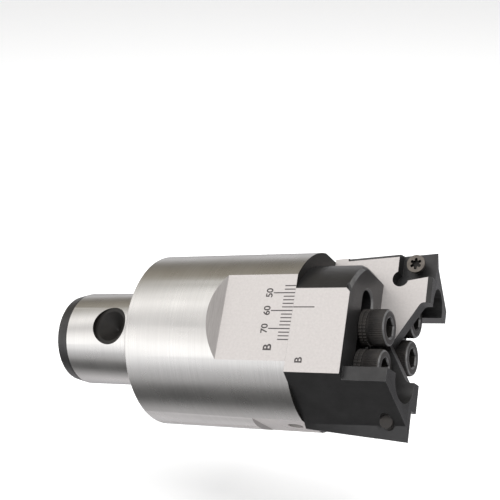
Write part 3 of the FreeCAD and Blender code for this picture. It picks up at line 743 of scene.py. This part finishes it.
STRIP_POWER = 1.8
STUDIO_STRIPS = (
    (-180, (0.30, 0.295, 0.305)), (-150, (0.22, 0.215, 0.22)), (-128, (0.44, 0.435, 0.44)),
    (-106, (0.12, 0.11, 0.095)), (-80, (0.20, 0.18, 0.145)), (-56, (0.44, 0.43, 0.41)), (-32, (0.86, 0.84, 0.82)),
    (-8, (0.44, 0.43, 0.425)), (8, (0.80, 0.78, 0.765)), (26, (1.0, 0.99, 0.98)), (42, (0.76, 0.755, 0.76)),
    (58, (0.40, 0.395, 0.40)), (70, (0.34, 0.335, 0.335)), (84, (0.09, 0.088, 0.087)), (104, (0.05, 0.05, 0.049)),
    (122, (0.28, 0.275, 0.275)), (142, (0.46, 0.445, 0.45)), (180, (0.30, 0.295, 0.305)),
)


def studio_world():
    """White to the eye and a moderate grey as a light, with long strip lights for the steel to mirror.

    The strips run along the tool axis: colour is a function of the angle atan2(y, x) round it.
    """
    world = bpy.data.worlds.new("Studio")
    bpy.context.scene.world = world
    world.use_nodes = True
    tree = world.node_tree
    nodes, links = tree.nodes, tree.links
    plain = nodes["Background"]
    plain.inputs["Color"].default_value = (1, 1, 1, 1)
    path = nodes.new("ShaderNodeLightPath")
    scale = nodes.new("ShaderNodeMapRange")
    scale.inputs["To Min"].default_value = WORLD_LIGHT
    scale.inputs["To Max"].default_value = 1.0
    links.new(path.outputs["Is Camera Ray"], scale.inputs["Value"])
    links.new(scale.outputs["Result"], plain.inputs["Strength"])
    place = nodes.new("ShaderNodeTexCoord")
    parts = nodes.new("ShaderNodeSeparateXYZ")
    angle = nodes.new("ShaderNodeMath")
    angle.operation = "ARCTAN2"
    share = nodes.new("ShaderNodeMapRange")
    share.inputs["From Min"].default_value = -math.pi
    share.inputs["From Max"].default_value = math.pi
    strips = nodes.new("ShaderNodeValToRGB")
    strips.color_ramp.interpolation = "EASE"
    stops = strips.color_ramp.elements
    while len(stops) < len(STUDIO_STRIPS):
        stops.new(0.5)
    for stop, (degrees, colour) in zip(stops, STUDIO_STRIPS):
        stop.position = (degrees + 180) / 360
        stop.color = (*colour, 1.0)
    glow = nodes.new("ShaderNodeBackground")
    glow.inputs["Strength"].default_value = STRIP_POWER
    mix = nodes.new("ShaderNodeMixShader")
    links.new(place.outputs["Generated"], parts.inputs["Vector"])
    links.new(parts.outputs["Y"], angle.inputs[0])
    links.new(parts.outputs["X"], angle.inputs[1])
    links.new(angle.outputs[0], share.inputs["Value"])
    links.new(share.outputs["Result"], strips.inputs["Fac"])
    links.new(strips.outputs["Color"], glow.inputs["Color"])
    links.new(path.outputs["Is Glossy Ray"], mix.inputs[0])
    links.new(plain.outputs[0], mix.inputs[1])
    links.new(glow.outputs[0], mix.inputs[2])
    links.new(mix.outputs[0], nodes["World Output"].inputs["Surface"])


class HEAD_OT_stage(bpy.types.Operator):
    """Camera, soft lamps, pale floor and white surroundings"""
    bl_idname = "boring_head.stage"
    bl_label = "Stage"

    def execute(self, context):
        camera = bpy.data.cameras.new("View")
        camera.sensor_width = 36.0
        camera.lens = 75.66
        camera.clip_start = 0.01
        view = bpy.data.objects.new("View", camera)
        context.scene.collection.objects.link(view)
        turn = Matrix((VIEW_RIGHT, -VIEW_DOWN, -VIEW_FORWARD)).transposed().to_4x4()
        view.matrix_world = Matrix.Translation(VIEW_PLACE) @ turn
        context.scene.camera = view
        context.scene.view_settings.view_transform = "Standard"

        low, high = CAD_BOX
        centre = (Vector(low) + Vector(high)) / 2
        up = stage_up()
        right = VIEW_RIGHT
        back = up.cross(right).normalized()
        drop = 0.062
        floor = stage_plane("floor", centre - up * drop, up, 6.0, 6.0, floor_material())
        floor.visible_glossy = False
        studio_world()
        key = stage_lamp("key", centre, up * 0.75 - back * 0.25, 0.9, 0.5, 9.0)
        key.visible_glossy = False
        return {"FINISHED"}


# ---------------------------------------------------------------- panel

STEPS = (HEAD_OT_body, HEAD_OT_cartridges, HEAD_OT_clamp_screws, HEAD_OT_lock_washers, HEAD_OT_small_parts,
         HEAD_OT_scales, HEAD_OT_stage)


class HEAD_PT_panel(bpy.types.Panel):
    """Boring head builder"""
    bl_idname = "HEAD_PT_panel"
    bl_label = "Boring Head"
    bl_space_type = "VIEW_3D"
    bl_region_type = "UI"
    bl_category = "Boring Head"

    def draw(self, context):
        layout = self.layout
        for group in (context.scene.head_sizes, context.scene.head_colours):
            box = layout.box()
            for name in group.bl_rna.properties.keys():
                if name not in ("rna_type", "name"):
                    box.prop(group, name)
        for step in STEPS:
            layout.operator(step.bl_idname)


CLASSES = (HeadSizes, HeadColours) + STEPS + (HEAD_PT_panel,)


def register():
    for cls in CLASSES:
        bpy.utils.register_class(cls)
    bpy.types.Scene.head_sizes = bpy.props.PointerProperty(type=HeadSizes)
    bpy.types.Scene.head_colours = bpy.props.PointerProperty(type=HeadColours)


def unregister():
    del bpy.types.Scene.head_colours
    del bpy.types.Scene.head_sizes
    for cls in reversed(CLASSES):
        bpy.utils.unregister_class(cls)


def main():
    register()
    bpy.ops.boring_head.stage()
    bpy.ops.boring_head.body()
    bpy.ops.boring_head.cartridges()
    bpy.ops.boring_head.clamp_screws()
    bpy.ops.boring_head.lock_washers()
    bpy.ops.boring_head.small_parts()
    bpy.ops.boring_head.scales()


if __name__ == "__main__":
    main()
